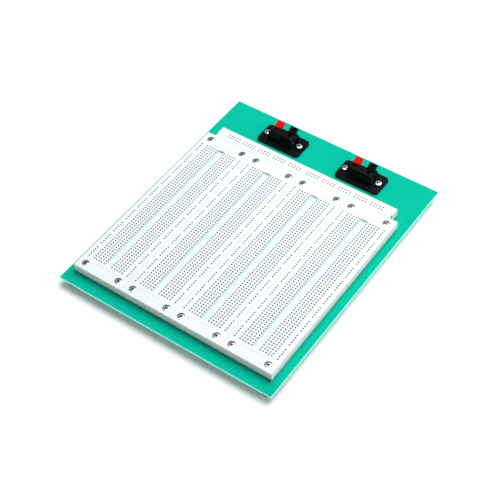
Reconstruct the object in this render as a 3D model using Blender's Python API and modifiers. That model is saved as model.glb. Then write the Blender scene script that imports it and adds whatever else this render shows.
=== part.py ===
"""Solderless breadboard on a metal base.

Four socket boards and one supply strip sit side by side on a painted plate, and two
pairs of spring terminals bring the supply in behind them. Metres, +Z up. The origin is
on the bench under the middle of the plate, +X runs to the right along the front edge and
+Y runs from the front edge to the terminals.
"""

import math

import bmesh
import bpy
from mathutils import Matrix, Vector

# ---------------------------------------------------------------- driving dimensions

PITCH = 0.00254                 # spacing of the contact holes
GAP = 0.0003                    # clearance between pieces that touch

FOOT_HEIGHT = 0.0067
FOOT_RADIUS = 0.0055
FOOT_INSET = 0.008              # from the plate's edges to a foot's centre

PLATE_WIDTH = 0.1985
PLATE_LENGTH = 0.239
PLATE_THICKNESS = 0.002
PLATE_BOTTOM = FOOT_HEIGHT + GAP
PLATE_TOP = PLATE_BOTTOM + PLATE_THICKNESS

BOARD_COUNT = 4
BOARD_STEP = 0.04625            # from one board's middle to the next
BOARD_WIDTH = BOARD_STEP - GAP
BOARD_LENGTH = 0.1746
BOARD_RISE = 0.0085             # from the plate to the boards' top face
BOARDS_X = -0.0004              # middle of the row of boards
BOARDS_FRONT = -0.1082          # the boards' front wall
TAPE_THICKNESS = 0.0007
TAPE_BOTTOM = PLATE_TOP + GAP
BOARD_BOTTOM = TAPE_BOTTOM + TAPE_THICKNESS + GAP
BOARD_TOP = PLATE_TOP + BOARD_RISE
BOARD_HEIGHT = BOARD_TOP - BOARD_BOTTOM

HOLE_SIZE = 0.001
COLUMNS = 59                    # columns of holes along a board
COLUMNS_PER_GROUP = 5           # supply holes between two gaps
GROUP_STEP = 6                  # columns from one supply group to the next
BUS_ROW = 7.5 * PITCH           # a board's supply row, from its middle
GROOVE_WIDTH = 0.0055
GROOVE_DEPTH = 0.0018
GROOVE_LENGTH = COLUMNS * PITCH

SCREW_X = 0.0162                # a board's screws, from its middle
SCREW_Y = 0.0813
SCREW_HEAD_RADIUS = 0.0027
SCREW_HEAD_HEIGHT = 0.0016
SCREW_SHANK_RADIUS = 0.0014
SCREW_SINK = 0.0003             # head top below the board's top face
SCREW_TIP = 0.0006              # shank left standing out of the nut
NUT_RADIUS = 0.00315            # across the corners
NUT_THICKNESS = 0.0024

STRIP_WIDTH = 0.1708
STRIP_DEPTH = 0.0114
STRIP_Y = BOARDS_FRONT + BOARD_LENGTH + GAP + STRIP_DEPTH / 2
STRIP_COLUMNS = 60              # hole spacings along the strip, gaps counted
STRIP_GROUPS = 10
STRIP_NOTCH_WIDTH = 0.0017      # slot down each end of the strip
STRIP_NOTCH_DEPTH = 0.0010
STRIP_NOTCH_FRONT = 0.0012      # from the strip's front wall to the slot

CLIP_CELL_WIDTH = 0.0017        # cavity that holds a supply row's contact clip
CLIP_CELL_HEIGHT = 0.0052
CLIP_WIDTH = 0.0010
CLIP_HEIGHT = 0.0046
CLIP_SLIT = 0.0004
BOARD_CLIP_LENGTH = COLUMNS * PITCH
STRIP_CLIP_LENGTH = STRIP_COLUMNS * PITCH
CLIP_END_ROOM = 0.0006

TERMINALS_X = 0.0007            # middle between the two terminal pairs
TERMINAL_X = 0.0387             # a terminal pair's middle, from there
TERMINAL_Y = PLATE_LENGTH / 2 - 0.0213
FLANGE_WIDTH = 0.041
FLANGE_DEPTH = 0.021
FLANGE_CORNER = 0.003
FLANGE_TOP = 0.0025             # heights in a terminal are above the plate
TERMINAL_SCREW_X = 0.016
BODY_HALF_WIDTH = 0.0117
BODY_FRONT = -0.0066
BODY_CREST_FRONT = -0.0048
BODY_CREST_BACK = 0.0048
BODY_BACK = 0.0064
BODY_TOP = 0.012
BODY_SHOULDER = 0.0026          # rounding of the body's upper ends
SPIGOT_BOTTOM = -0.0045
CELL_FRONT = -0.0038
CELL_BACK = 0.0055
CELL_ROOF = 0.0103
REAR_WALL_TOP = 0.008
SLOT_FRONT = 0.001              # opening that a lever stands in
LEVER_X = 0.0066                # a lever's middle, from the terminal's middle
LEVER_WIDTH = 0.007
LEVER_THICKNESS = 0.0018
LEVER_HUB_RADIUS = 0.0021
PIVOT_Y = 0.003
PIVOT_Z = 0.0056
TRUNNION_RADIUS = 0.001
TRUNNION_LENGTH = 0.0084
WIRE_HOLE_Y = -0.001
WIRE_HOLE_RADIUS = 0.0016
CONTACT_WIDTH = 0.0062
CONTACT_THICKNESS = 0.0005

ROUND_SIDES = 16

# Directions for outlines: each matrix turns a flat outline drawn in X and Y, with its
# thickness along Z, to where the outline is drawn on the real piece.
FLAT = Matrix.Identity(4)
SIDE_VIEW = Matrix(((0, 0, 1, 0), (1, 0, 0, 0), (0, 1, 0, 0), (0, 0, 0, 1)))
FRONT_VIEW = Matrix.Rotation(math.pi / 2, 4, "X")


# ---------------------------------------------------------------- scene and materials

def clear_scene():
    for obj in list(bpy.data.objects):
        bpy.data.objects.remove(obj, do_unlink=True)


def new_collection(name):
    collection = bpy.data.collections.new(name)
    bpy.context.scene.collection.children.link(collection)
    return collection


def make_material(name, colour, roughness, metallic):
    material = bpy.data.materials.new(name)
    material.use_nodes = True
    shader = material.node_tree.nodes["Principled BSDF"]
    shader.inputs["Base Color"].default_value = (*colour, 1.0)
    shader.inputs["Roughness"].default_value = roughness
    shader.inputs["Metallic"].default_value = metallic
    return material


clear_scene()
PARTS = new_collection("solderless_breadboard")
CUTTERS = new_collection("cutters")

GREEN_PAINT = make_material("green_paint", (0.0, 0.53, 0.35), 0.45, 0.0)
WHITE_PLASTIC = make_material("white_plastic", (0.86, 0.88, 0.88), 0.45, 0.0)
GREY_TAPE = make_material("grey_tape", (0.45, 0.46, 0.46), 0.9, 0.0)
BLACK_PLASTIC = make_material("black_plastic", (0.012, 0.012, 0.013), 0.35, 0.0)
RED_PLASTIC = make_material("red_plastic", (0.75, 0.02, 0.015), 0.35, 0.0)
BLACK_RUBBER = make_material("black_rubber", (0.02, 0.02, 0.02), 0.85, 0.0)
STEEL = make_material("zinc_plated_steel", (0.75, 0.76, 0.78), 0.25, 1.0)
SPRING_METAL = make_material("spring_metal", (0.72, 0.66, 0.52), 0.3, 1.0)


# ---------------------------------------------------------------- modelling helpers

def new_object(name, mesh, material):
    """Put a mesh in the parts collection as a named piece."""
    obj = bpy.data.objects.new(name, mesh)
    PARTS.objects.link(obj)
    if material is not None and not mesh.materials:
        mesh.materials.append(material)
    return obj


def new_cutter(name, mesh):
    """Put a mesh in the cutters collection, hidden from renders."""
    obj = bpy.data.objects.new(name, mesh)
    CUTTERS.objects.link(obj)
    obj.hide_render = True
    obj.display_type = "WIRE"
    return obj


def add_box(bm, low, high):
    """Add a box between two corners."""
    low = Vector(low)
    high = Vector(high)
    place = Matrix.Translation((low + high) / 2) @ Matrix.Diagonal((*(high - low), 1.0))
    bmesh.ops.create_cube(bm, size=1.0, matrix=place)


def add_rod(bm, centre, radius, length, turn=FLAT, sides=ROUND_SIDES):
    """Add a closed cylinder whose length runs along the turned Z."""
    place = Matrix.Translation(centre) @ turn
    bmesh.ops.create_cone(bm, cap_ends=True, segments=sides, radius1=radius,
                          radius2=radius, depth=length, matrix=place)


def mesh_from(bm, name):
    mesh = bpy.data.meshes.new(name)
    bm.to_mesh(mesh)
    bm.free()
    return mesh


def boxes(name, corners):
    """One mesh that holds a box for each pair of corners."""
    bm = bmesh.new()
    for low, high in corners:
        add_box(bm, low, high)
    return mesh_from(bm, name)


def rods(name, centres, radius, length, turn=FLAT, sides=ROUND_SIDES):
    """One mesh that holds a cylinder round each centre."""
    bm = bmesh.new()
    for centre in centres:
        add_rod(bm, centre, radius, length, turn, sides)
    return mesh_from(bm, name)


def outline_mesh(name, outline, low, high, turn=FLAT):
    """A filled flat curve given its thickness from low to high, as a closed mesh."""
    curve = bpy.data.curves.new(name, "CURVE")
    curve.dimensions = "2D"
    curve.fill_mode = "BOTH"
    curve.extrude = (high - low) / 2
    spline = curve.splines.new("POLY")
    spline.points.add(len(outline) - 1)
    for point, (x, y) in zip(spline.points, outline):
        point.co = (x, y, 0.0, 1.0)
    spline.use_cyclic_u = True
    guide = bpy.data.objects.new(name, curve)
    CUTTERS.objects.link(guide)
    bpy.context.view_layer.update()
    graph = bpy.context.evaluated_depsgraph_get()
    mesh = bpy.data.meshes.new_from_object(guide.evaluated_get(graph))
    bpy.data.objects.remove(guide, do_unlink=True)
    bm = bmesh.new()
    bm.from_mesh(mesh)
    bmesh.ops.remove_doubles(bm, verts=bm.verts, dist=0.00001)
    bmesh.ops.translate(bm, verts=bm.verts, vec=(0.0, 0.0, (low + high) / 2))
    bmesh.ops.transform(bm, verts=bm.verts, matrix=turn)
    bmesh.ops.recalc_face_normals(bm, faces=bm.faces)
    bm.to_mesh(mesh)
    bm.free()
    return mesh


def rounded(corners, steps=4):
    """An outline whose corners (x, y, radius) are turned into arcs of a few points."""
    points = []
    count = len(corners)
    for index, (x, y, radius) in enumerate(corners):
        here = Vector((x, y))
        before = (Vector(corners[index - 1][:2]) - here).normalized()
        after = (Vector(corners[(index + 1) % count][:2]) - here).normalized()
        if radius == 0.0:
            points.append((x, y))
            continue
        half = before.angle(after) / 2
        reach = radius / math.tan(half)
        start = here + before * reach
        end = here + after * reach
        middle = here + (before + after).normalized() * (radius / math.sin(half))
        for step in range(steps + 1):
            ray = (start - middle).lerp(end - middle, step / steps).normalized()
            points.append(tuple(middle + ray * radius))
    return points


def strip_outline(path, thickness):
    """Both sides of a strip of even thickness along an open path, mitred at its bends."""
    path = [Vector(point) for point in path]
    runs = [(b - a).normalized() for a, b in zip(path, path[1:])]
    left = []
    right = []
    for index, point in enumerate(path):
        before = runs[max(index - 1, 0)]
        after = runs[min(index, len(runs) - 1)]
        across = Vector((-(before + after).y, (before + after).x)).normalized()
        mitre = thickness / 2 / max(across.dot(Vector((-after.y, after.x))), 0.5)
        left.append(tuple(point + across * mitre))
        right.append(tuple(point - across * mitre))
    return left + right[::-1]


def boolean(obj, other, operation):
    modifier = obj.modifiers.new(other.name, "BOOLEAN")
    modifier.operation = operation
    modifier.solver = "EXACT"
    modifier.object = other


def cut(obj, name, mesh):
    boolean(obj, new_cutter(name, mesh), "DIFFERENCE")


def join(obj, name, mesh):
    boolean(obj, new_cutter(name, mesh), "UNION")


def keep_inside(obj, name, mesh):
    boolean(obj, new_cutter(name, mesh), "INTERSECT")


def settle(obj):
    """Turn a piece's modifiers into its mesh, so that copies can share it."""
    bpy.context.view_layer.update()
    graph = bpy.context.evaluated_depsgraph_get()
    settled = bpy.data.meshes.new_from_object(obj.evaluated_get(graph))
    obj.modifiers.clear()
    obj.data = settled
    return settled


def shade_round(mesh):
    mesh.shade_smooth()
    mesh.set_sharp_from_angle(angle=math.radians(35.0))


def turned(name, profile, material, sides=ROUND_SIDES):
    """A profile (radius, height), from the top of the axis to its foot, spun into a solid."""
    mesh = bpy.data.meshes.new(name)
    points = [(radius, 0.0, height) for radius, height in profile]
    edges = [(index, index + 1) for index in range(len(points) - 1)]
    mesh.from_pydata(points, edges, [])
    obj = new_object(name, mesh, material)
    spin = obj.modifiers.new("spin", "SCREW")
    spin.axis = "Z"
    spin.angle = math.tau
    spin.steps = sides
    spin.render_steps = sides
    spin.use_merge_vertices = True
    spin.merge_threshold = 0.00001
    return obj


def place_copy(name, mesh, material, location):
    obj = new_object(name, mesh, material)
    obj.location = location
    return obj


# ---------------------------------------------------------------- fasteners and feet

def screw_and_nut(name, grip, material):
    """A pan-head screw with its hex nut run on, seat at height zero, pointing down.

    grip is the distance from under the head to the face that the nut rests on.
    """
    length = grip + NUT_THICKNESS + SCREW_TIP
    head_edge = SCREW_HEAD_RADIUS * 0.72
    profile = [
        (0.0, SCREW_HEAD_HEIGHT),
        (head_edge, SCREW_HEAD_HEIGHT),
        (SCREW_HEAD_RADIUS, SCREW_HEAD_HEIGHT * 0.45),
        (SCREW_HEAD_RADIUS, 0.0),
        (SCREW_SHANK_RADIUS, 0.0),
        (SCREW_SHANK_RADIUS, -length),
        (0.0, -length),
    ]
    screw = turned(name, profile, material, sides=12)
    nut_middle = -(grip + NUT_THICKNESS / 2)
    join(screw, name + "_nut", rods("nut", [(0, 0, nut_middle)], NUT_RADIUS, NUT_THICKNESS, sides=6))
    return screw


def make_feet():
    """Four stick-on rubber feet, a little narrower at the bench."""
    x = PLATE_WIDTH / 2 - FOOT_INSET
    y = PLATE_LENGTH / 2 - FOOT_INSET
    profile = [
        (0.0, FOOT_HEIGHT),
        (FOOT_RADIUS, FOOT_HEIGHT),
        (FOOT_RADIUS * 0.94, 0.0012),
        (FOOT_RADIUS * 0.80, 0.0),
        (0.0, 0.0),
    ]
    first = turned("foot_front_left", profile, BLACK_RUBBER, sides=20)
    mesh = settle(first)
    shade_round(mesh)
    first.location = (-x, -y, 0.0)
    place_copy("foot_front_right", mesh, BLACK_RUBBER, (x, -y, 0.0))
    place_copy("foot_rear_left", mesh, BLACK_RUBBER, (-x, y, 0.0))
    place_copy("foot_rear_right", mesh, BLACK_RUBBER, (x, y, 0.0))


# ---------------------------------------------------------------- plate

def board_middle(number):
    """Middle of board 1 to BOARD_COUNT, counted from the left, at the plate's top."""
    x = BOARDS_X + (number - (BOARD_COUNT + 1) / 2) * BOARD_STEP
    return Vector((x, BOARDS_FRONT + BOARD_LENGTH / 2, PLATE_TOP))


def board_screw_places(middle):
    return [
        (middle.x + side * SCREW_X, middle.y + end * SCREW_Y)
        for end in (-1, 1)
        for side in (-1, 1)
    ]


def terminal_middle(side):
    """Middle of the left (-1) or right (+1) terminal pair, at the plate's top."""
    return Vector((TERMINALS_X + side * TERMINAL_X, TERMINAL_Y, PLATE_TOP))


def make_plate():
    """The painted base plate, drilled for every screw and cut out behind the terminals."""
    half = Vector((PLATE_WIDTH / 2, PLATE_LENGTH / 2))
    plate = new_object("base_plate", boxes("base_plate", [
        ((-half.x, -half.y, PLATE_BOTTOM), (half.x, half.y, PLATE_TOP)),
    ]), GREEN_PAINT)
    places = []
    for number in range(1, BOARD_COUNT + 1):
        places += board_screw_places(board_middle(number))
    for side in (-1, 1):
        middle = terminal_middle(side)
        places += [(middle.x + end * TERMINAL_SCREW_X, middle.y) for end in (-1, 1)]
    height = (PLATE_BOTTOM + PLATE_TOP) / 2
    holes = rods("screw_holes", [(x, y, height) for x, y in places],
                 SCREW_SHANK_RADIUS + GAP, PLATE_THICKNESS * 3, sides=12)
    cut(plate, "plate_screw_holes", holes)
    windows = []
    for side in (-1, 1):
        middle = terminal_middle(side)
        windows.append((
            (middle.x - BODY_HALF_WIDTH, middle.y + CELL_FRONT - 0.0012, PLATE_BOTTOM - 0.001),
            (middle.x + BODY_HALF_WIDTH, middle.y + BODY_BACK + GAP, PLATE_TOP + 0.001),
        ))
    cut(plate, "plate_windows", boxes("windows", windows))


# ---------------------------------------------------------------- boards

def tape_outline(name, width, length, material, holes):
    """A sheet of foam tape, punched where screws pass."""
    low = (-width / 2, -length / 2, 0.0)
    high = (width / 2, length / 2, TAPE_THICKNESS)
    tape = new_object(name, boxes(name, [(low, high)]), material)
    if holes:
        punches = rods("punches", [(x, y, TAPE_THICKNESS / 2) for x, y in holes],
                       SCREW_SHANK_RADIUS + GAP, TAPE_THICKNESS * 4, sides=12)
        cut(tape, name + "_punches", punches)
    return tape


def make_clip(name, length, material):
    """A supply row's contact: a folded strip, open along its top for the wires."""
    half = CLIP_WIDTH / 2
    slit = CLIP_SLIT / 2
    web = 0.0008
    outline = [
        (-half, 0.0),
        (half, 0.0),
        (half, CLIP_HEIGHT),
        (slit, CLIP_HEIGHT - 0.0006),
        (slit, web),
        (-slit, web),
        (-slit, CLIP_HEIGHT - 0.0006),
        (-half, CLIP_HEIGHT),
    ]
    mesh = outline_mesh(name, outline, -length / 2, length / 2, FRONT_VIEW)
    return new_object(name, mesh, material)


def make_board():
    """One socket board, its origin in the middle of its underside."""
    half = Vector((BOARD_WIDTH / 2, BOARD_LENGTH / 2))
    board = new_object("board_1", boxes("board", [
        ((-half.x, -half.y, 0.0), (half.x, half.y, BOARD_HEIGHT)),
    ]), WHITE_PLASTIC)
    screws = board_screw_places(Vector((0.0, 0.0, 0.0)))
    seat = BOARD_HEIGHT - SCREW_SINK - SCREW_HEAD_HEIGHT - GAP
    counterbore_depth = BOARD_HEIGHT - seat
    counterbores = rods("counterbores",
                        [(x, y, seat + counterbore_depth) for x, y in screws],
                        SCREW_HEAD_RADIUS + GAP, counterbore_depth * 2)
    cut(board, "board_counterbores", counterbores)
    shafts = rods("shafts", [(x, y, BOARD_HEIGHT / 2) for x, y in screws],
                  SCREW_SHANK_RADIUS + GAP, BOARD_HEIGHT * 1.2, sides=12)
    cut(board, "board_screw_holes", shafts)
    groove = boxes("groove", [(
        (-GROOVE_WIDTH / 2, -GROOVE_LENGTH / 2, BOARD_HEIGHT - GROOVE_DEPTH),
        (GROOVE_WIDTH / 2, GROOVE_LENGTH / 2, BOARD_HEIGHT + 0.001),
    )])
    cut(board, "board_groove", groove)
    cells = boxes("cells", [clip_cell(side * BUS_ROW, BOARD_CLIP_LENGTH) for side in (-1, 1)])
    cut(board, "board_clip_cells", cells)
    columns = [
        (column - (COLUMNS - 1) / 2) * PITCH
        for column in range(COLUMNS)
        if column % GROUP_STEP < COLUMNS_PER_GROUP
    ]
    cut(board, "board_supply_holes", supply_holes([
        (side * BUS_ROW, y) for side in (-1, 1) for y in columns
    ]))
    return board


def supply_holes(places):
    """A square shaft down to the clip cells at each place."""
    half = HOLE_SIZE / 2
    return boxes("supply_holes", [
        ((x - half, y - half, CLIP_CELL_HEIGHT - 0.0002), (x + half, y + half, BOARD_HEIGHT + 0.001))
        for x, y in places
    ])


def clip_cell(row, length):
    """Corners of the cavity, open below, for the clip of one supply row."""
    reach = length / 2 + CLIP_END_ROOM
    low = (row - CLIP_CELL_WIDTH / 2, -reach, -0.001)
    high = (row + CLIP_CELL_WIDTH / 2, reach, CLIP_CELL_HEIGHT)
    return low, high


def make_boards():
    """Four boards with their tape, supply clips and screws."""
    board = make_board()
    board_mesh = settle(board)
    tape = tape_outline("board_1_tape", BOARD_WIDTH, BOARD_LENGTH, GREY_TAPE,
                        board_screw_places(Vector((0.0, 0.0, 0.0))))
    tape_mesh = settle(tape)
    clip = make_clip("board_1_left_clip", BOARD_CLIP_LENGTH, SPRING_METAL)
    grip = BOARD_RISE - SCREW_SINK - SCREW_HEAD_HEIGHT + PLATE_THICKNESS + GAP
    screw = screw_and_nut("board_1_screw_1", grip, STEEL)
    screw_mesh = settle(screw)
    shade_round(screw_mesh)
    first_of = {
        "board_1": board,
        "board_1_tape": tape,
        "board_1_left_clip": clip,
        "board_1_screw_1": screw,
    }

    def put(name, mesh, material, location):
        """Move the first piece of a kind to its place, or add a copy of it."""
        if name in first_of:
            first_of[name].location = location
        else:
            place_copy(name, mesh, material, location)

    for number in range(1, BOARD_COUNT + 1):
        prefix = f"board_{number}"
        middle = board_middle(number)
        put(prefix, board_mesh, WHITE_PLASTIC, (middle.x, middle.y, BOARD_BOTTOM))
        put(prefix + "_tape", tape_mesh, GREY_TAPE, (middle.x, middle.y, TAPE_BOTTOM))
        for side, label in ((-1, "left"), (1, "right")):
            location = (middle.x + side * BUS_ROW, middle.y, BOARD_BOTTOM + GAP)
            put(f"{prefix}_{label}_clip", clip.data, SPRING_METAL, location)
        seat = BOARD_TOP - SCREW_SINK - SCREW_HEAD_HEIGHT
        for index, (x, y) in enumerate(board_screw_places(middle), start=1):
            put(f"{prefix}_screw_{index}", screw_mesh, STEEL, (x, y, seat))


def make_supply_strip():
    """The narrow strip across the back of the boards, with its tape and two clips."""
    half = Vector((STRIP_WIDTH / 2, STRIP_DEPTH / 2))
    strip = new_object("supply_strip", boxes("supply_strip", [
        ((-half.x, -half.y, 0.0), (half.x, half.y, BOARD_HEIGHT)),
    ]), WHITE_PLASTIC)
    strip.location = (BOARDS_X, STRIP_Y, BOARD_BOTTOM)
    bm = bmesh.new()
    for side in (-1, 1):
        low, high = clip_cell(side * PITCH / 2, STRIP_CLIP_LENGTH)
        add_box(bm, (low[1], low[0], low[2]), (high[1], high[0], high[2]))
    cells = new_cutter("strip_clip_cells", mesh_from(bm, "strip_cells"))
    cells.location = strip.location
    boolean(strip, cells, "DIFFERENCE")
    columns = []
    for group in range(STRIP_GROUPS):
        start = group * GROUP_STEP + (group >= STRIP_GROUPS / 2) - (STRIP_COLUMNS - 1) / 2
        columns += [(start + column) * PITCH for column in range(COLUMNS_PER_GROUP)]
    holes = new_cutter("strip_supply_holes", supply_holes([
        (x, side * PITCH / 2) for side in (-1, 1) for x in columns
    ]))
    holes.location = strip.location
    boolean(strip, holes, "DIFFERENCE")
    notch_front = -half.y + STRIP_NOTCH_FRONT
    notches = new_cutter("strip_notches", boxes("strip_notches", [
        ((side * half.x - STRIP_NOTCH_DEPTH, notch_front, -0.001),
         (side * half.x + STRIP_NOTCH_DEPTH, notch_front + STRIP_NOTCH_WIDTH, BOARD_HEIGHT + 0.001))
        for side in (-1, 1)
    ]))
    notches.location = strip.location
    boolean(strip, notches, "DIFFERENCE")
    tape = tape_outline("supply_strip_tape", STRIP_WIDTH, STRIP_DEPTH, GREY_TAPE, [])
    tape.location = (BOARDS_X, STRIP_Y, TAPE_BOTTOM)
    for side, label in ((-1, "front"), (1, "rear")):
        clip = make_clip(f"supply_strip_{label}_clip", STRIP_CLIP_LENGTH, SPRING_METAL)
        clip.rotation_euler.z = math.pi / 2
        clip.location = (BOARDS_X, STRIP_Y + side * PITCH / 2, BOARD_BOTTOM + GAP)


# ---------------------------------------------------------------- spring terminals

def make_housing():
    """A terminal pair's moulding: flange, hooded body and the spigot below the flange.

    Its origin is in the middle, level with the plate's top. The body is where a front
    outline with rounded shoulders meets a side outline with a raked front and back.
    """
    wide = FLANGE_WIDTH / 2
    deep = FLANGE_DEPTH / 2
    flange = rounded([
        (-wide, -deep, FLANGE_CORNER),
        (wide, -deep, FLANGE_CORNER),
        (wide, deep, FLANGE_CORNER),
        (-wide, deep, FLANGE_CORNER),
    ])
    housing = new_object("left_terminal_housing",
                         outline_mesh("housing", flange, GAP, FLANGE_TOP), BLACK_PLASTIC)

    side_outline = [
        (BODY_FRONT, FLANGE_TOP - 0.001),
        (BODY_BACK, FLANGE_TOP - 0.001),
        (BODY_BACK, REAR_WALL_TOP),
        (BODY_CREST_BACK, BODY_TOP),
        (BODY_CREST_FRONT, BODY_TOP),
    ]
    body = new_cutter("terminal_body", outline_mesh(
        "terminal_body", side_outline, -BODY_HALF_WIDTH, BODY_HALF_WIDTH, SIDE_VIEW))
    front_outline = rounded([
        (-BODY_HALF_WIDTH, 0.0, 0.0),
        (BODY_HALF_WIDTH, 0.0, 0.0),
        (BODY_HALF_WIDTH, BODY_TOP, BODY_SHOULDER),
        (-BODY_HALF_WIDTH, BODY_TOP, BODY_SHOULDER),
    ])
    keep_inside(body, "terminal_shoulders", outline_mesh(
        "terminal_shoulders", front_outline, -0.02, 0.02, FRONT_VIEW))
    boolean(housing, body, "UNION")

    wall = 0.0009
    spigot = boxes("spigot", [(
        (-BODY_HALF_WIDTH + GAP, CELL_FRONT - wall, SPIGOT_BOTTOM),
        (BODY_HALF_WIDTH - GAP, BODY_BACK, FLANGE_TOP - 0.0005),
    )])
    join(housing, "terminal_spigot", spigot)

    half_slot = LEVER_WIDTH / 2 + GAP
    cells = []
    slots = []
    for side in (-1, 1):
        x = side * LEVER_X
        cells.append(((x - half_slot, CELL_FRONT, SPIGOT_BOTTOM - 0.001),
                      (x + half_slot, CELL_BACK, CELL_ROOF)))
        slots.append(((x - half_slot, SLOT_FRONT, REAR_WALL_TOP),
                      (x + half_slot, BODY_BACK + 0.001, BODY_TOP + 0.001)))
    cut(housing, "terminal_cells", boxes("cells", cells))
    cut(housing, "terminal_slots", boxes("slots", slots))
    cut(housing, "terminal_back_rake", outline_mesh("rake", [
        (0.0023, BODY_TOP + 0.0006),
        (BODY_BACK + 0.0006, REAR_WALL_TOP - 0.0005),
        (BODY_BACK + 0.0006, BODY_TOP + 0.0006),
    ], -BODY_HALF_WIDTH + 0.0016, BODY_HALF_WIDTH - 0.0016, SIDE_VIEW))

    wire_holes = rods("wire_holes", [(side * LEVER_X, WIRE_HOLE_Y, BODY_TOP) for side in (-1, 1)],
                      WIRE_HOLE_RADIUS, 0.005)
    cut(housing, "terminal_wire_holes", wire_holes)
    along_x = Matrix.Rotation(math.pi / 2, 4, "Y")
    pockets = rods("pockets", [(side * LEVER_X, PIVOT_Y, PIVOT_Z) for side in (-1, 1)],
                   TRUNNION_RADIUS + GAP, TRUNNION_LENGTH + 2 * GAP, turn=along_x, sides=12)
    cut(housing, "terminal_pockets", pockets)
    screw_holes = rods("flange_holes",
                       [(side * TERMINAL_SCREW_X, 0.0, FLANGE_TOP / 2) for side in (-1, 1)],
                       SCREW_SHANK_RADIUS + GAP, 0.006, sides=12)
    cut(housing, "terminal_screw_holes", screw_holes)
    return housing


def make_lever(name, material):
    """A lever, its origin on its trunnions: finger plate, upright, hub and toe."""
    path = [(0.0, -0.0038), (0.0, 0.0), (0.0003, 0.0058), (0.0049, 0.0085)]
    outline = strip_outline(path, LEVER_THICKNESS)
    lever = new_object(name, outline_mesh(
        name, outline, -LEVER_WIDTH / 2, LEVER_WIDTH / 2, SIDE_VIEW), material)
    along_x = Matrix.Rotation(math.pi / 2, 4, "Y")
    join(lever, name + "_hub", rods("hub", [(0, 0, 0)], LEVER_HUB_RADIUS, LEVER_WIDTH - 0.0001,
                                    turn=along_x))
    join(lever, name + "_trunnions", rods("trunnions", [(0, 0, 0)], TRUNNION_RADIUS,
                                          TRUNNION_LENGTH, turn=along_x, sides=12))
    return lever


def make_contact(name):
    """A terminal's spring contact: a leaf beside the wire hole and a solder tail below."""
    path = [(-0.0031, -0.0060), (-0.0031, 0.0020), (-0.0026, 0.0075), (-0.0033, 0.0092)]
    outline = strip_outline(path, CONTACT_THICKNESS)
    mesh = outline_mesh(name, outline, -CONTACT_WIDTH / 2, CONTACT_WIDTH / 2, SIDE_VIEW)
    return new_object(name, mesh, SPRING_METAL)


def make_terminals():
    """Two terminal pairs: housing, red and black levers, their contacts and two screws."""
    housing_mesh = settle(make_housing())
    bpy.data.objects.remove(bpy.data.objects["left_terminal_housing"], do_unlink=True)
    levers = {}
    for colour, material in (("red", RED_PLASTIC), ("black", BLACK_PLASTIC)):
        lever = make_lever(f"{colour}_lever_pattern", material)
        levers[colour] = settle(lever)
        shade_round(levers[colour])
        bpy.data.objects.remove(lever, do_unlink=True)
    contact = make_contact("contact_pattern")
    contact_mesh = contact.data
    bpy.data.objects.remove(contact, do_unlink=True)
    grip = FLANGE_TOP + PLATE_THICKNESS + 2 * GAP
    screw = screw_and_nut("terminal_screw_pattern", grip, STEEL)
    screw_mesh = settle(screw)
    shade_round(screw_mesh)
    bpy.data.objects.remove(screw, do_unlink=True)

    for side, prefix in ((-1, "left"), (1, "right")):
        middle = terminal_middle(side)
        place_copy(f"{prefix}_terminal_housing", housing_mesh, BLACK_PLASTIC, middle)
        for place, colour in ((-1, "red"), (1, "black")):
            across = Vector((place * LEVER_X, 0.0, 0.0))
            pivot = middle + across + Vector((0.0, PIVOT_Y, PIVOT_Z))
            place_copy(f"{prefix}_{colour}_lever", levers[colour], None, pivot)
            place_copy(f"{prefix}_{colour}_contact", contact_mesh, SPRING_METAL, middle + across)
        for index, end in enumerate((-1, 1), start=1):
            seat = middle + Vector((end * TERMINAL_SCREW_X, 0.0, FLANGE_TOP + GAP))
            place_copy(f"{prefix}_terminal_screw_{index}", screw_mesh, STEEL, seat)


make_plate()
make_feet()
make_boards()
make_supply_strip()
make_terminals()
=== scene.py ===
# %% [markdown]
# # A solderless breadboard on its metal base
#
# Four socket boards and a narrow supply strip lie side by side on a green painted plate.
# Two pairs of spring terminals, red and black, stand behind them. This lesson dresses the
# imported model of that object: every part keeps its place and size, and gets the fine
# surface and the finish that a maker would see on the bench.

# %% The frame
import math

import bmesh
import bpy
import numpy as np
from mathutils import Matrix, Vector


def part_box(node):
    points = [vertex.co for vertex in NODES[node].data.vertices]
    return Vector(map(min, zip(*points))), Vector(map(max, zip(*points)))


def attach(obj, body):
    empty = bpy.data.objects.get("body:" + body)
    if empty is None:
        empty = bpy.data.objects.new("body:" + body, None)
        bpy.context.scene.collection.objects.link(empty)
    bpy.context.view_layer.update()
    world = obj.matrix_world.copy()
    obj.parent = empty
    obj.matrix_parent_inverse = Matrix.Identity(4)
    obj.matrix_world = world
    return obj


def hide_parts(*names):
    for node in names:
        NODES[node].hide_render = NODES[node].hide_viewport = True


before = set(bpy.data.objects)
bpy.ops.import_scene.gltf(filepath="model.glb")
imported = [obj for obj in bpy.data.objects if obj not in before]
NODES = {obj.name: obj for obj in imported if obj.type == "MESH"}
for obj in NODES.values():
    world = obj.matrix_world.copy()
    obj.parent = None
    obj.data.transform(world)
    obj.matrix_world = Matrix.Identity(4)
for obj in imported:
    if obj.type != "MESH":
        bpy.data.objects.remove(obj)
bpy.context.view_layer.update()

BASE = "base"
print("parts in the frame:", len(NODES))

# %% [markdown]
# ## From numbers to a mesh
#
# Most pieces here are surfaces over a grid: one array of points with two directions, worked
# out for the whole grid at once. A grid that runs round an axis is closed across its seam, and
# its first and last rows are closed with a fan. Points that fall on the same place are
# merged, and faces that lose their area that way are dropped, so a sheer wall can be written
# as two grid lines at one place with different heights.

# %% Grid surfaces
MERGE_STEP = 1e-7               # points on the same step of this size, in metres, are one
NEAR = 1e-5                     # a face this close to a level counts as on it


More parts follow.
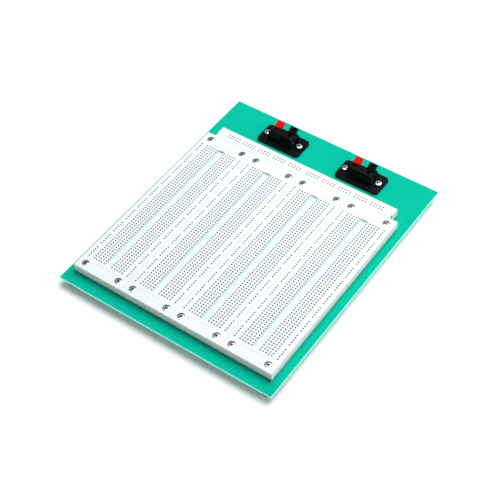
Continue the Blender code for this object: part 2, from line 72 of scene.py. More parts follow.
def merged(points, triangles):
    """Triangles on merged points, without the ones that have no area left."""
    keys = np.round(points / MERGE_STEP).astype(np.int64)
    _, first, index = np.unique(keys, axis=0, return_index=True, return_inverse=True)
    faces = index.reshape(-1)[triangles]
    a, b, c = faces.T
    real = (a != b) & (b != c) & (c != a)
    return points[first], faces[real]


def grid_triangles(rows, columns, wrap=False):
    """Two triangles for each cell of a grid whose points are numbered row by row."""
    index = np.arange(rows * columns).reshape(rows, columns)
    if wrap:
        index = np.hstack([index, index[:, :1]])
    a = index[:-1, :-1].ravel()
    b = index[:-1, 1:].ravel()
    c = index[1:, 1:].ravel()
    d = index[1:, :-1].ravel()
    return np.vstack([np.column_stack([a, b, c]), np.column_stack([a, c, d])])


def fan(loop, tip):
    """Triangles from a closed loop of points to one tip."""
    following = np.roll(loop, -1)
    return np.column_stack([loop, following, np.full(len(loop), tip)])


def placed(name, data):
    """A new object in the scene that shows a mesh, a lamp or a camera."""
    obj = bpy.data.objects.new(name, data)
    bpy.context.scene.collection.objects.link(obj)
    return obj


def mesh_object(name, points, triangles, smooth_angle=None):
    """A mesh object at the origin from an array of points and one of triangles."""
    mesh = bpy.data.meshes.new(name)
    mesh.vertices.add(len(points))
    mesh.vertices.foreach_set("co", points.astype(np.float32).ravel())
    mesh.loops.add(triangles.size)
    mesh.loops.foreach_set("vertex_index", triangles.astype(np.int32).ravel())
    mesh.polygons.add(len(triangles))
    mesh.polygons.foreach_set("loop_start", np.arange(0, triangles.size, 3, dtype=np.int32))
    mesh.update(calc_edges=True)
    mesh.validate()
    if smooth_angle is None:
        mesh.shade_flat()
    else:
        mesh.shade_smooth()
        mesh.set_sharp_from_angle(angle=math.radians(smooth_angle))
    return placed(name, mesh)


def face_centres(mesh):
    """The centre of every face of a mesh, one row for each."""
    centres = np.empty(len(mesh.polygons) * 3)
    mesh.polygons.foreach_get("center", centres)
    return centres.reshape(-1, 3)


def closed_round(rings):
    """A grid that runs round an axis, as points and triangles, closed at both ends.

    rings has one row for each ring, from the lowest or first end to the other.
    """
    rows, columns, _ = rings.shape
    points = rings.reshape(-1, 3)
    tips = np.array([rings[0].mean(axis=0), rings[-1].mean(axis=0)])
    triangles = grid_triangles(rows, columns, wrap=True)
    last = np.arange((rows - 1) * columns, rows * columns)
    ends = [fan(np.arange(columns)[::-1], rows * columns), fan(last, rows * columns + 1)]
    return np.vstack([points, tips]), np.vstack([triangles] + ends)


WELD = 2e-6                     # corners of loose triangles this close are one corner
FLAT_ANGLE = math.radians(2.0)
EDGE_ANGLE = math.radians(30.0)
SHARP_ANGLE = math.radians(40.0)
ROUND_STEPS = 3


def softened_copy(node, name, width):
    """A copy of a part's own mesh, its flat faces made whole and its edges rounded."""
    bm = bmesh.new()
    bm.from_mesh(NODES[node].data)
    bmesh.ops.remove_doubles(bm, verts=bm.verts, dist=WELD)
    bmesh.ops.dissolve_limit(bm, angle_limit=FLAT_ANGLE, verts=bm.verts, edges=bm.edges)
    mesh = bpy.data.meshes.new(name)
    bm.to_mesh(mesh)
    bm.free()
    mesh.materials.clear()
    obj = placed(name, mesh)
    bevel = obj.modifiers.new("rounded edges", "BEVEL")
    bevel.width = width
    bevel.segments = ROUND_STEPS
    bevel.limit_method = "ANGLE"
    bevel.angle_limit = EDGE_ANGLE
    mesh.shade_smooth()
    mesh.set_sharp_from_angle(angle=SHARP_ANGLE)
    return obj


def fit_out(obj, body, slot, materials, *nodes):
    """Give a piece its finish, the body it rides on and the parts it stands for."""
    for material in materials:
        obj.data.materials.append(material)
    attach(obj, body)
    if nodes:
        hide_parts(*nodes)
    print(f"{obj.name}: {len(obj.data.polygons)} faces")
    return obj


# %% [markdown]
# ## Finishes
#
# Each finish is a small node tree on object coordinates. A broad noise moves the roughness
# and the colour a little, and a fine one raises a slight bump, as moulded or painted surfaces
# have. The two are only as strong as they are on clean new parts.
# A value that doesn't vary stays on the shader itself. The rims of the plate and the bench
# also give off a little light of their own, which keeps them bright where they lie in shade.

# %% Finishes
DRIFT_SCALE = 35.0              # patches of about three centimetres
DRIFT_DETAIL = 4.0
DRIFT_SPREAD = (0.3, 0.7)       # the part of the noise that most points fall in
GRAIN_DETAIL = 3.0
GRAIN_HEIGHT = 0.0002


def finish(name, colour, roughness, metallic=0.0, specular=0.5, grain=900.0, grain_depth=0.02,
           shift=0.04, tint=0.03):
    """A surface whose roughness drifts by shift and whose colour drifts by tint."""
    material = bpy.data.materials.new(name)
    material.use_nodes = True
    tree = material.node_tree
    shader = tree.nodes["Principled BSDF"]
    shader.inputs["Metallic"].default_value = metallic
    shader.inputs["Specular IOR Level"].default_value = specular
    place = tree.nodes.new("ShaderNodeTexCoord").outputs["Object"]

    drift = tree.nodes.new("ShaderNodeTexNoise")
    drift.inputs["Scale"].default_value = DRIFT_SCALE
    drift.inputs["Detail"].default_value = DRIFT_DETAIL
    tree.links.new(place, drift.inputs["Vector"])

    gloss = tree.nodes.new("ShaderNodeMapRange")
    gloss.inputs["From Min"].default_value = DRIFT_SPREAD[0]
    gloss.inputs["From Max"].default_value = DRIFT_SPREAD[1]
    gloss.inputs["To Min"].default_value = roughness - shift
    gloss.inputs["To Max"].default_value = roughness + shift
    tree.links.new(drift.outputs["Fac"], gloss.inputs["Value"])
    tree.links.new(gloss.outputs["Result"], shader.inputs["Roughness"])

    ramp = tree.nodes.new("ShaderNodeValToRGB")
    ramp.color_ramp.elements[0].position = DRIFT_SPREAD[0]
    ramp.color_ramp.elements[1].position = DRIFT_SPREAD[1]
    ramp.color_ramp.elements[0].color = (*[c * (1 - tint) for c in colour], 1.0)
    ramp.color_ramp.elements[1].color = (*[min(1.0, c * (1 + tint)) for c in colour], 1.0)
    tree.links.new(drift.outputs["Fac"], ramp.inputs["Fac"])
    tree.links.new(ramp.outputs["Color"], shader.inputs["Base Color"])

    fine = tree.nodes.new("ShaderNodeTexNoise")
    fine.inputs["Scale"].default_value = grain
    fine.inputs["Detail"].default_value = GRAIN_DETAIL
    tree.links.new(place, fine.inputs["Vector"])
    bump = tree.nodes.new("ShaderNodeBump")
    bump.inputs["Strength"].default_value = grain_depth
    bump.inputs["Distance"].default_value = GRAIN_HEIGHT
    tree.links.new(fine.outputs["Fac"], bump.inputs["Height"])
    tree.links.new(bump.outputs["Normal"], shader.inputs["Normal"])
    return material


def glow(material, colour, strength):
    """Let a finish give off a little light of its own."""
    shader = material.node_tree.nodes["Principled BSDF"]
    shader.inputs["Emission Color"].default_value = (*colour, 1.0)
    shader.inputs["Emission Strength"].default_value = strength


GREEN_PAINT = finish("green_paint", (0.003, 0.44, 0.30), 0.5, specular=0.0, grain=600.0)
# painted highlight: the plate's rims get a paler colour that glows a little, for the light the
# rounded rims catch
RIM_HIGHLIGHT = finish("painted_rim_highlight", (0.30, 0.93, 0.88), 0.4, specular=0.2, grain=600.0)
glow(RIM_HIGHLIGHT, (0.35, 1.0, 0.92), 0.22)
WHITE_ABS = finish("white_abs", (0.735, 0.765, 0.775), 0.42, specular=0.12, tint=0.01)
# painted shade: the label lines are moulded in the white plastic and made warm grey for the shade
# along them
LABEL_LINE_SHADE = finish("painted_label_line_shade", (0.70, 0.685, 0.672), 0.5, specular=0.1, tint=0.01)
# painted shade: the groove is white plastic, made darker and pale blue here for the shade in it
GROOVE_SHADE = finish("painted_groove_shade", (0.675, 0.765, 0.815), 0.5, specular=0.05, tint=0.01)
# painted shade down the holes of the boards and the strip: their walls are white plastic and the
# contacts deep in them metal, all darkened for the shade in the narrow shafts
SOCKET_SHADE = finish("painted_socket_shade", (0.02, 0.021, 0.023), 0.6, specular=0.05)
STRIP_SHADE = finish("painted_strip_socket_shade", (0.16, 0.165, 0.17), 0.6, specular=0.05)
FOAM_TAPE = finish("foam_tape", (0.30, 0.31, 0.31), 0.95, specular=0.1, grain=2500.0,
                   grain_depth=0.3)
BLACK_MOULDING = finish("black_moulding", (0.0025, 0.0045, 0.005), 0.38, specular=0.05)
RED_MOULDING = finish("red_moulding", (0.66, 0.008, 0.004), 0.35, specular=0.12)
RUBBER = finish("black_rubber", (0.018, 0.018, 0.018), 0.85, specular=0.2, grain=1800.0)
SCREW_METAL = finish("plated_steel", (0.62, 0.62, 0.63), 0.32, metallic=1.0, grain=1500.0)
# painted shade: the cross recess is the same plated steel as the head, darkened for the shade in
# it
RECESS_SHADE = finish("painted_recess_shade", (0.06, 0.06, 0.062), 0.5, specular=0.2, grain=1500.0)
SPRING_METAL = finish("spring_bronze", (0.66, 0.60, 0.48), 0.3, metallic=1.0, grain=1500.0)
print("finishes:", len(bpy.data.materials))

# %% [markdown]
# ## The base plate
#
# The plate is sheet metal, drilled and punched, then powder painted, so its rims are never
# razor sharp. The imported plate already has every hole, so it is copied and its edges are
# rounded by a small bevel. That keeps the holes where the screws are. The faces on the four
# rims get a paler finish that glows a little: a painted highlight for the light that the
# rounded rims catch.

# %% Base plate
PLATE_ROUND = 0.00035
plate = softened_copy("base_plate", "painted_plate", PLATE_ROUND)
PLATE_LOW, PLATE_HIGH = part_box("base_plate")
plate_faces = np.abs(face_centres(plate.data)[:, :2]) - np.array(PLATE_HIGH.xy)
on_the_rim = plate_faces.max(axis=1) > -NEAR
# the faces on the rims take the painted rim highlight
plate.data.polygons.foreach_set("material_index", on_the_rim.astype(np.int32))
print("faces on the rims:", int(on_the_rim.sum()))
fit_out(plate, BASE, "base_plate", [GREEN_PAINT, RIM_HIGHLIGHT], "base_plate")

# %% [markdown]
# ## The socket boards
#
# A board's top is one sheet over two sets of lines, one across and one along. Every row of
# holes has six lines across it: the rim of the funnel, its throat twice, and the same going
# out. At each line there is a depth, and a hole is as deep as the smaller of
# its two depths, which makes a square funnel with mitred corners over a sheer shaft.
# The groove down the middle is the same rule with its own lines. One function of two
# parameters then makes all the holes of a board at once.

# %% Measures of the boards
PITCH = 0.00254
COLUMNS = 59
COLUMN_PLACES = (np.arange(COLUMNS) - (COLUMNS - 1) / 2) * PITCH
TERMINAL_ROWS = np.array([-5.5, -4.5, -3.5, -2.5, -1.5, 1.5, 2.5, 3.5, 4.5, 5.5]) * PITCH
BUS_ROWS = np.array([-7.5, 7.5]) * PITCH
HOLE_HALF = 0.00050
FUNNEL_LIP = 0.00013
FUNNEL_DEPTH = 0.00022
HOLE_DEPTH = 0.0030
EDGE_ROUND = 0.00022
EDGE_STEPS = 4
SEAM = 0.00011                  # how far a moulding closes in on its neighbours
GROOVE_HALF = 0.00275
GROOVE_DEPTH = 0.0018
GROOVE_REACH = COLUMNS * PITCH / 2
GROOVE_LIP = 1e-4               # the groove's painted shade starts this far under the top


def hole_lines(places):
    """Line places, depths at them and the hole each belongs to, for holes along one axis."""
    step = np.array([-HOLE_HALF - FUNNEL_LIP, -HOLE_HALF, -HOLE_HALF,
                     HOLE_HALF, HOLE_HALF, HOLE_HALF + FUNNEL_LIP])
    depth = np.array([0.0, FUNNEL_DEPTH, HOLE_DEPTH, HOLE_DEPTH, FUNNEL_DEPTH, 0.0])
    lines = (places[:, None] + step[None, :]).ravel()
    return lines, np.tile(depth, len(places)), np.repeat(np.arange(len(places)), len(step))


def edge_lines(half):
    """Lines that round both outer edges: their places and how far the top has dropped."""
    turn = np.linspace(0.0, np.pi / 2, EDGE_STEPS)
    inset = EDGE_ROUND * (1 - np.sin(turn))
    drop = EDGE_ROUND * (1 - np.cos(turn))
    places = np.concatenate([-half + inset, half - inset])
    return places, np.concatenate([drop, drop])


def sheet_with_holes(half_x, half_y, holes_x, holes_y, present, grooves=()):
    """Top surface over [-half_x, half_x] by [-half_y, half_y] as places and depths.

    The depth at a crossing is the smaller of the depth across and the depth along, for
    holes that are present. A groove has its own depth between its lines. Where the edge has
    dropped further than that, the edge's drop is taken.
    """
    hx, dx, ix = hole_lines(holes_x)
    hy, dy, iy = hole_lines(holes_y)
    ex, drop_x = edge_lines(half_x)
    ey, drop_y = edge_lines(half_y)
    gx = np.concatenate([[-g[0], -g[0], g[0], g[0]] for g in grooves]) if grooves else np.empty(0)
    gy = np.concatenate([[-g[1], -g[1], g[1], g[1]] for g in grooves]) if grooves else np.empty(0)
    inside = np.tile([0.0, 1.0, 1.0, 0.0], len(grooves))

    def ordered(holes, depths, ids, edges, drops, steps):
        """All lines of one direction by place, with depth, hole, edge drop and groove side."""
        place = np.concatenate([holes, edges, steps])
        depth = np.concatenate([depths, np.zeros(len(edges) + len(steps))])
        number = np.concatenate([ids, np.full(len(edges) + len(steps), -1)])
        drop = np.concatenate([np.zeros(len(holes)), drops, np.zeros(len(steps))])
        step = np.concatenate([np.full(len(holes) + len(edges), np.nan), inside])
        order = np.argsort(place, kind="stable")
        return place[order], depth[order], number[order], drop[order], step[order]

    x, dx, ix, drop_x, step_x = ordered(hx, dx, ix, ex, drop_x, gx)
    y, dy, iy, drop_y, step_y = ordered(hy, dy, iy, ey, drop_y, gy)
    depth = np.minimum(dx[:, None], dy[None, :])
    there = present[ix[:, None], iy[None, :]] & (ix[:, None] >= 0) & (iy[None, :] >= 0)
    depth = np.where(there, depth, 0.0)
    for reach_x, reach_y, groove_depth in grooves:
        in_x = np.where(np.isnan(step_x), np.abs(x) < reach_x, step_x == 1.0)
        in_y = np.where(np.isnan(step_y), np.abs(y) < reach_y, step_y == 1.0)
        depth = np.where(in_x[:, None] & in_y[None, :], groove_depth, depth)
    drop = np.maximum(drop_x[:, None], drop_y[None, :])
    return x, y, np.maximum(depth, drop)


def moulding(name, low, high, holes_x, holes_y, present, grooves=()):
    """A closed block between two corners whose top is a sheet with holes."""
    centre = (np.array(low) + np.array(high)) / 2
    half = (np.array(high) - np.array(low)) / 2
    x, y, depth = sheet_with_holes(half[0], half[1], holes_x, holes_y, present, grooves)
    rows, columns = depth.shape
    top = np.empty((rows, columns, 3))
    top[..., 0] = centre[0] + x[:, None]
    top[..., 1] = centre[1] + y[None, :]
    top[..., 2] = high[2] - depth
    index = np.arange(rows * columns).reshape(rows, columns)
    rim = np.concatenate([index[:-1, 0], index[-1, :-1], index[:0:-1, -1], index[0, :0:-1]])
    foot = top.reshape(-1, 3)[rim].copy()
    foot[:, 2] = low[2]
    count = rows * columns
    below = count + np.arange(len(rim))
    wall = np.vstack([
        np.column_stack([rim, below, np.roll(below, -1)]),
        np.column_stack([rim, np.roll(below, -1), np.roll(rim, -1)]),
    ])
    underside = fan(below[::-1], count + len(rim))
    points = np.vstack([top.reshape(-1, 3), foot, [[centre[0], centre[1], low[2]]]])
    sheet = grid_triangles(rows, columns)[:, ::-1]
    triangles = np.vstack([sheet, wall, underside])
    points, faces = merged(points, triangles)
    return mesh_object(name, points, faces)


def paint_inside(obj, top, groove_x=None):
    """Painted shade: second finish for a groove along groove_x, third for the walls and floors of
    the holes.

    A face belongs to a hole when it lies between the funnel's throat and the hole's floor
    and is not on the outer walls.
    """
    centres = face_centres(obj.data)
    level = centres[:, 2]
    finish_number = np.zeros(len(centres), np.int32)
    if groove_x is not None:
        beside = np.abs(centres[:, 0] - groove_x) < GROOVE_HALF + NEAR
        sunk = (level < top - GROOVE_LIP) & (level > top - GROOVE_DEPTH - NEAR)
        finish_number[beside & sunk] = 1
    in_shaft = (level < top - FUNNEL_DEPTH - NEAR) & (level > top - HOLE_DEPTH - NEAR)
    corners = np.array(obj.bound_box)
    from_middle = np.abs(centres - (corners.min(axis=0) + corners.max(axis=0)) / 2)[:, :2]
    within = np.all(from_middle < np.array(obj.dimensions)[:2] / 2 - NEAR, axis=1)
    finish_number[in_shaft & within & (finish_number == 0)] = 2
    obj.data.polygons.foreach_set("material_index", finish_number)


# %% Holes that are there
rows_x = np.sort(np.concatenate([BUS_ROWS, TERMINAL_ROWS]))
GROUP_STEP = 6                  # five supply holes and a gap
bus_column = np.arange(COLUMNS) % GROUP_STEP != GROUP_STEP - 1
board_holes = np.ones((len(rows_x), COLUMNS), bool)
board_holes[0] = bus_column
board_holes[-1] = bus_column
print("holes in a board:", int(board_holes.sum()))


# %% [markdown]
# A board's four screws sit in round counterbores. A round pocket doesn't follow a square
# grid, so it is a turned cutter, a step and a shaft on one axis, taken out of
# the first board by a Boolean. The other boards are copies of that one, moved along.

# %% Turned shapes
def turned(profile, segments, start=0.0):
    """Rings of points for a profile of (radius, height), from its first point to its last.

    Four segments that start at an eighth of a turn make a square bar.
    """
    profile = np.asarray(profile, float)
    angle = start + np.linspace(0.0, 2 * np.pi, segments, endpoint=False)
    rings = np.empty((len(profile), segments, 3))
    rings[..., 0] = profile[:, :1] * np.cos(angle)
    rings[..., 1] = profile[:, :1] * np.sin(angle)
    rings[..., 2] = profile[:, 1:]
    return rings


def settled(obj):
    """The mesh of an object with its modifiers worked out."""
    bpy.context.view_layer.update()
    graph = bpy.context.evaluated_depsgraph_get()
    return bpy.data.meshes.new_from_object(obj.evaluated_get(graph))


def cut_out(obj, places, profile, segments=32, start=0.0):
    """Take a turned cutter out of a piece at each place."""
    rings = turned(profile, segments, start)
    points, triangles = closed_round(rings)
    count = len(points)
    everywhere = np.vstack([points + np.array(place) for place in places])
    faces = np.vstack([triangles + count * number for number in range(len(places))])
    cutter = mesh_object("cutter", everywhere, faces)
    boolean = obj.modifiers.new("cut", "BOOLEAN")
    boolean.operation = "DIFFERENCE"
    boolean.solver = "EXACT"
    boolean.object = cutter
    obj.data = settled(obj)
    obj.modifiers.clear()
    bpy.data.objects.remove(cutter, do_unlink=True)


# %% Boards
CUTTER_OVERLAP = 0.001          # how far a through cutter stands out of the piece
SCREW_HOLE_RADIUS = 0.0017
POCKET_RADIUS = 0.0029
POCKET_DEPTH = 0.0022
POCKET_LIP = 0.0003             # the cutter opens from this far under the top to as far over
POCKET_FLARE = 0.0002
BOARDS = [f"board_{number}" for number in range(1, 5)]
BOARD_LOW, BOARD_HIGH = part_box("board_1")
BOARD_MIDDLE = (BOARD_LOW + BOARD_HIGH) / 2
screw_boxes = [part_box(f"board_1_screw_{n}") for n in range(1, 5)]
SCREW_PLACES = [((low + high) / 2).xy for low, high in screw_boxes]

closer = Vector((SEAM, 0.0, 0.0))
first_board = moulding("board_1_moulding", BOARD_LOW - closer, BOARD_HIGH + closer,
                       rows_x, COLUMN_PLACES, board_holes,
                       grooves=[(GROOVE_HALF, GROOVE_REACH, GROOVE_DEPTH)])
pocket = [
    (SCREW_HOLE_RADIUS, BOARD_LOW.z - CUTTER_OVERLAP),
    (SCREW_HOLE_RADIUS, BOARD_HIGH.z - POCKET_DEPTH),
    (POCKET_RADIUS, BOARD_HIGH.z - POCKET_DEPTH),
    (POCKET_RADIUS, BOARD_HIGH.z - POCKET_LIP),
    (POCKET_RADIUS + POCKET_FLARE, BOARD_HIGH.z + POCKET_LIP),
]
cut_out(first_board, [(x, y, 0.0) for x, y in SCREW_PLACES], pocket)
paint_inside(first_board, BOARD_HIGH.z, BOARD_MIDDLE.x)
mouldings = [first_board]
for node in BOARDS[1:]:
    copied = first_board.data.copy()
    copied.transform(Matrix.Translation(((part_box(node)[0] - BOARD_LOW).x, 0.0, 0.0)))
    mouldings.append(placed(node + "_moulding", copied))
for node, board in zip(BOARDS, mouldings):
    fit_out(board, BASE, "boards", [WHITE_ABS, GROOVE_SHADE, SOCKET_SHADE], node)

# %% [markdown]
# A moulded line marks off the label field at each end of a board. It is a low bead: a flat
# path of a few points, widened to both sides at every point and raised in the middle. The bead
# is the board's white plastic; its warm grey is painted shade along it.

# %% Label lines
def bead(path, width, height, level):
    """A low ridge along a flat path, with a roof-shaped section, as points and triangles.

    At each point the section turns to the mean of the runs that meet there.
    """
    path = np.asarray(path, float)
    runs = np.diff(path, axis=0)
    runs /= np.linalg.norm(runs, axis=1, keepdims=True)
    along = np.vstack([runs[:1], runs[:-1] + runs[1:], runs[-1:]])
    along /= np.linalg.norm(along, axis=1, keepdims=True)
    across = np.column_stack([-along[:, 1], along[:, 0]])
    side = np.array([0.5, 0.32, 0.0, -0.32, -0.5, 0.0]) * width
    rise = np.array([0.0, 0.8, 1.0, 0.8, 0.0, -0.3]) * height
    rings = np.empty((len(path), len(side), 3))
    rings[..., :2] = path[:, None, :] + side[None, :, None] * across[:, None, :]
    rings[..., 2] = level + rise[None, :]
    return closed_round(rings[:, ::-1])


BEAD_WIDTH = 0.00055
BEAD_HEIGHT = 0.00014
BEAD_SHARP = 30.0
LABEL_PATH = np.array([(-0.0120, -0.0803), (-0.0092, -0.0781), (-0.0077, -0.0775),
                       (0.0095, -0.0776)])
for node in BOARDS:
    low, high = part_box(node)
    middle = np.array([(low.x + high.x) / 2, (low.y + high.y) / 2])
    front = bead(LABEL_PATH + middle, BEAD_WIDTH, BEAD_HEIGHT, BOARD_HIGH.z)
    back = bead(-LABEL_PATH + middle, BEAD_WIDTH, BEAD_HEIGHT, BOARD_HIGH.z)
    points = np.vstack([front[0], back[0]])
    triangles = np.vstack([front[1], back[1] + len(front[0])])
    line = mesh_object(node + "_label_lines", points, triangles, smooth_angle=BEAD_SHARP)
    fit_out(line, BASE, "boards", [LABEL_LINE_SHADE])

# %% [markdown]
# ## The supply strip
#
# The strip has two rows of ten groups of five holes. The same sheet makes it, with the
# groups written as one rule: six pitches from group to group and one more in the middle.
# Both ends have a square notch for the key of a neighbour, taken out by a square bar.

# %% Supply strip
STRIP_SEAM = 2.2 * SEAM
END_SLOT_HALF = 0.00085
END_SLOT_START = 0.0012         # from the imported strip's front wall to the notch
END_SLOT_INSET = 0.00015        # from the end wall to the bar's axis
strip_low, strip_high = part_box("supply_strip")
group = np.arange(10)
first_column = group * GROUP_STEP + (group >= 5)
strip_columns = (first_column[:, None] + np.arange(5)[None, :]).ravel()
strip_x = (strip_columns - strip_columns.max() / 2) * PITCH
strip_y = np.array([-0.5, 0.5]) * PITCH
strip_low.y -= STRIP_SEAM
strip = moulding("supply_strip_moulding", strip_low, strip_high, strip_x, strip_y,
                 np.ones((len(strip_x), 2), bool))
bar = [(END_SLOT_HALF * math.sqrt(2), strip_low.z - CUTTER_OVERLAP),
       (END_SLOT_HALF * math.sqrt(2), strip_high.z + CUTTER_OVERLAP)]
slot_y = strip_low.y + STRIP_SEAM + END_SLOT_START + END_SLOT_HALF
slot_ends = [(strip_low.x + END_SLOT_INSET, slot_y, 0.0),
             (strip_high.x - END_SLOT_INSET, slot_y, 0.0)]
cut_out(strip, slot_ends, bar, segments=4, start=math.pi / 4)
paint_inside(strip, strip_high.z)
fit_out(strip, BASE, "boards", [WHITE_ABS, GROOVE_SHADE, STRIP_SHADE], "supply_strip")

# %% [markdown]
# ## Screws
#
# A pan-head screw is a turned shape until the cross recess is pressed into it. Over a
# grid of rings and angles the head's height is its dome less the recess, and the recess is
# deep where a point is near one of the two arms and near the axis. Further down the same
# grid the radius follows a hexagon for the nut, so head, shank and nut are one surface.

# %% Measures of the screws
HEAD_RADIUS = 0.0027
HEAD_RINGS = 16
DOME_DROP = 0.00035             # how far the dome falls from its middle to its rim
HEAD_SIDE = [0.97, 1.0, 1.0, 0.97]
HEAD_SIDE_DROP = [0.00045, 0.00075, 0.0014, 0.0015]
RECESS_DEPTH = 0.0010
RECESS_START = 0.0002           # faces sunk between these two get the painted shade of the recess
RECESS_END = 0.0013
ARM_HALF = (0.00028, 0.00042)   # the arm's wall lies between these half widths
ARM_REACH = (0.0015, 0.0019)
CORE_RADIUS = (0.0005, 0.0009)
SHANK_RADIUS = 0.0014
SHANK_START = 0.0016
NUT_TOP = 0.0003                # both faces of the nut, below the plate
NUT_BOTTOM = 0.0027
NUT_HALF = 0.00273              # from the axis to a flat
NUT_CHAMFER_RADIUS = 0.00285
NUT_CHAMFER = 0.00035
TIP_CHAMFER = 0.0003
SCREW_SHARP = 30.0


# %% Screws and nuts
def smooth_step(value, low, high):
    """0 below low, 1 above high, and a smooth S between them."""
    t = np.clip((value - low) / (high - low), 0.0, 1.0)
    return t * t * (3 - 2 * t)


def screw_rings(head_top, nut_top, nut_bottom, tip, segments=64):
    """Rings of a cross-head screw with its nut, from the tip to the middle of the head.

    The dome falls with the square of the radius. A flat of the nut stands off the axis by
    its half width divided by the cosine of the angle from the middle of that flat.
    """
    angle = np.linspace(0.0, 2 * np.pi, segments, endpoint=False)
    radius = np.concatenate([np.linspace(0.02, 0.92, HEAD_RINGS), HEAD_SIDE]) * HEAD_RADIUS
    dome = DOME_DROP * (radius / HEAD_RADIUS) ** 2
    dome[-len(HEAD_SIDE):] = HEAD_SIDE_DROP
    height = head_top - dome
    rings = np.empty((len(radius), segments, 3))
    rings[..., 0] = radius[:, None] * np.cos(angle)
    rings[..., 1] = radius[:, None] * np.sin(angle)
    nearest_arm = np.minimum(np.abs(rings[..., 0]), np.abs(rings[..., 1]))
    arm = 1 - smooth_step(nearest_arm, *ARM_HALF)
    reach = 1 - smooth_step(radius[:, None], *ARM_REACH)
    core = 1 - smooth_step(radius[:, None], *CORE_RADIUS)
    recess = RECESS_DEPTH * np.maximum(arm * reach, core)
    rings[..., 2] = height[:, None] - recess

    shank = np.full(segments, SHANK_RADIUS)
    hexagon = NUT_HALF / np.cos((angle + np.pi / 6) % (np.pi / 3) - np.pi / 6)
    chamfered = np.minimum(hexagon, NUT_CHAMFER_RADIUS)
    below_radius = np.array([shank, shank, chamfered, hexagon, hexagon, chamfered, shank, shank,
                             shank - TIP_CHAMFER])
    below_level = np.array([head_top - SHANK_START, nut_top, nut_top, nut_top - NUT_CHAMFER,
                            nut_bottom + NUT_CHAMFER, nut_bottom, nut_bottom,
                            tip + TIP_CHAMFER, tip])
    below = np.empty((len(below_level), segments, 3))
    below[..., 0] = below_radius * np.cos(angle)
    below[..., 1] = below_radius * np.sin(angle)
    below[..., 2] = below_level[:, None]
    return np.vstack([rings, below])[::-1]


def make_screw(node, turn):
    """One screw in the place of its part, its cross turned by an angle."""
    low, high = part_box(node)
    middle = (low + high) / 2
    rings = screw_rings(high.z, PLATE_LOW.z - NUT_TOP, PLATE_LOW.z - NUT_BOTTOM, low.z)
    c, s = math.cos(turn), math.sin(turn)
    x = rings[..., 0] * c - rings[..., 1] * s + middle.x
    y = rings[..., 0] * s + rings[..., 1] * c + middle.y
    points, triangles = closed_round(np.stack([x, y, rings[..., 2]], axis=-1))
    points, faces = merged(points, triangles)
    obj = mesh_object(node + "_turned", points, faces, smooth_angle=SCREW_SHARP)
    centres = face_centres(obj.data)
    reach_out = np.hypot(centres[:, 0] - middle.x, centres[:, 1] - middle.y)
    sunk = high.z - DOME_DROP * (reach_out / HEAD_RADIUS) ** 2 - centres[:, 2]
    # faces in the cross recess take the painted recess shade
    recessed = (reach_out < ARM_REACH[1]) & (sunk > RECESS_START) & (sunk < RECESS_END)
    obj.data.polygons.foreach_set("material_index", recessed.astype(np.int32))
    fit_out(obj, BASE, "screws", [SCREW_METAL, RECESS_SHADE], node)


screw_nodes = sorted(name for name in NODES if "screw" in name)
turns = np.random.default_rng(7).uniform(0.0, math.pi / 2, len(screw_nodes))
for node, turn in zip(screw_nodes, turns):
    make_screw(node, float(turn))

# %% [markdown]
# ## The spring terminals
#
# A terminal pair is a black moulding with a red and a black lever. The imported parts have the
# right shape, with sharp edges that no mould can give, so each is copied
# and its edges are rounded. The levers ride on their own bodies and turn with them.

# %% Terminals
HOUSING_ROUND = 0.0003
LEVER_ROUND = 0.00025
for side in ("left", "right"):
    housing = softened_copy(f"{side}_terminal_housing", f"{side}_terminal_moulding",
                            HOUSING_ROUND)
    fit_out(housing, BASE, "black_plastic", [BLACK_MOULDING], f"{side}_terminal_housing")
    for colour, material in (("red", RED_MOULDING), ("black", BLACK_MOULDING)):
        node = f"{side}_{colour}_lever"
        lever = softened_copy(node, node + "_moulding", LEVER_ROUND)
        fit_out(lever, node, f"{colour}_plastic", [material], node)

# %% [markdown]
# ## Feet, tape and contacts
#
# The feet are turned rubber buttons with a rounded rim. The foam tape and the contact strips
# hardly show when the object stands on its feet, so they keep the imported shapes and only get
# finishes of their own.

# %% Feet, tape and contacts
FOOT_ROUND = 0.0012             # the lower rim
FOOT_CHAMFER = (0.0003, 0.0004)  # the upper rim, inwards and down
FOOT_SOLE = 0.80                # radii as parts of the foot's own
FOOT_WAIST = 0.97
FOOT_WAIST_LEVEL = 0.6          # as a part of the foot's height
FOOT_FLATTEN = 0.9              # the lower rim is a little narrower than a quarter circle
FOOT_SHARP = 40.0
for node in sorted(name for name in NODES if name.startswith("foot")):
    low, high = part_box(node)
    centre = np.array([(low.x + high.x) / 2, (low.y + high.y) / 2, 0.0])
    wide = (high.x - low.x) / 2
    turn = np.linspace(0.0, np.pi / 2, 6)
    lower_rim = np.column_stack([wide * FOOT_SOLE + FOOT_ROUND * np.sin(turn) * FOOT_FLATTEN,
                                 FOOT_ROUND * (1 - np.cos(turn))])
    upper_part = [(wide * FOOT_WAIST, high.z * FOOT_WAIST_LEVEL),
                  (wide, high.z - FOOT_CHAMFER[1]),
                  (wide - FOOT_CHAMFER[0], high.z)]
    profile = np.vstack([lower_rim, upper_part])
    points, triangles = closed_round(turned(profile, 48) + centre)
    foot = mesh_object(node + "_rubber", points, triangles, smooth_angle=FOOT_SHARP)
    fit_out(foot, BASE, "feet", [RUBBER], node)


def dress(node, material):
    """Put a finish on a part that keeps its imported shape."""
    mesh = NODES[node].data
    mesh.materials.clear()
    mesh.materials.append(material)


for node in NODES:
    if "tape" in node:
        dress(node, FOAM_TAPE)
    if "clip" in node or "contact" in node:
        dress(node, SPRING_METAL)

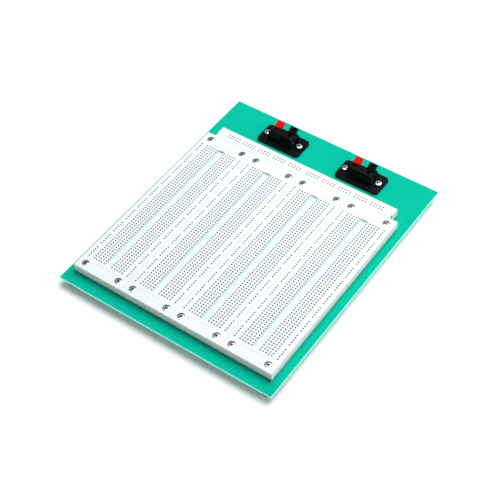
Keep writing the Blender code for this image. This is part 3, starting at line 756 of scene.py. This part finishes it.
# %% [markdown]
# ## Floor, light and camera
#
# The object stands on a plain white bench. One large soft light hangs above and behind the
# terminals, a little to the right, and a weak one stands low on the right, so the right walls
# are brighter than the front ones. A pale sky fills the rest. The camera looks down from the
# front right through a long lens.

# %% Floor
floor_material = finish("white_bench", (0.93, 0.93, 0.93), 0.8, specular=0.1, tint=0.0)
glow(floor_material, (0.94, 1.0, 0.985), 0.10)
FLOOR_REACH = 3.0
floor_corners = np.array([(-1, -1, 0), (1, -1, 0), (1, 1, 0), (-1, 1, 0)]) * FLOOR_REACH
floor = mesh_object("bench", floor_corners, np.array([(0, 1, 2), (0, 2, 3)]))
floor.data.materials.append(floor_material)

# %% Lights
def soft_light(name, place, size, power):
    """A square area light that faces the middle of the object."""
    lamp = bpy.data.lights.new(name, "AREA")
    lamp.size = size
    lamp.energy = power
    obj = placed(name, lamp)
    obj.location = place
    obj.rotation_mode = "QUATERNION"
    obj.rotation_quaternion = (-Vector(place)).to_track_quat("-Z", "Y")


soft_light("overhead_softbox", (0.15, 0.5, 1.3), size=1.2, power=24.5)
soft_light("right_fill", (1.2, 0.1, 0.5), size=0.8, power=3.5)
world = bpy.data.worlds.new("pale_room")
world.use_nodes = True
background = world.node_tree.nodes["Background"]
background.inputs["Color"].default_value = (0.95, 0.98, 1.0, 1.0)
background.inputs["Strength"].default_value = 0.29
bpy.context.scene.world = world
bpy.context.scene.view_settings.view_transform = "Standard"

# %% Camera
camera_data = bpy.data.cameras.new("camera")
camera_data.sensor_width = 36.0
camera_data.lens = 87.43
camera = placed("camera", camera_data)
place = Vector((0.38304880, -0.50716030, 0.73022380))
right = Vector((0.81651588, 0.57643228, -0.0320569))
forward = Vector((-0.39505607, 0.51738053, -0.75911007))
up = right.cross(forward)
camera.matrix_world = Matrix((
    (right.x, up.x, -forward.x, place.x),
    (right.y, up.y, -forward.y, place.y),
    (right.z, up.z, -forward.z, place.z),
    (0.0, 0.0, 0.0, 1.0),
))
bpy.context.scene.camera = camera
print("camera height over the bench in mm:", round(place.z * 1000))
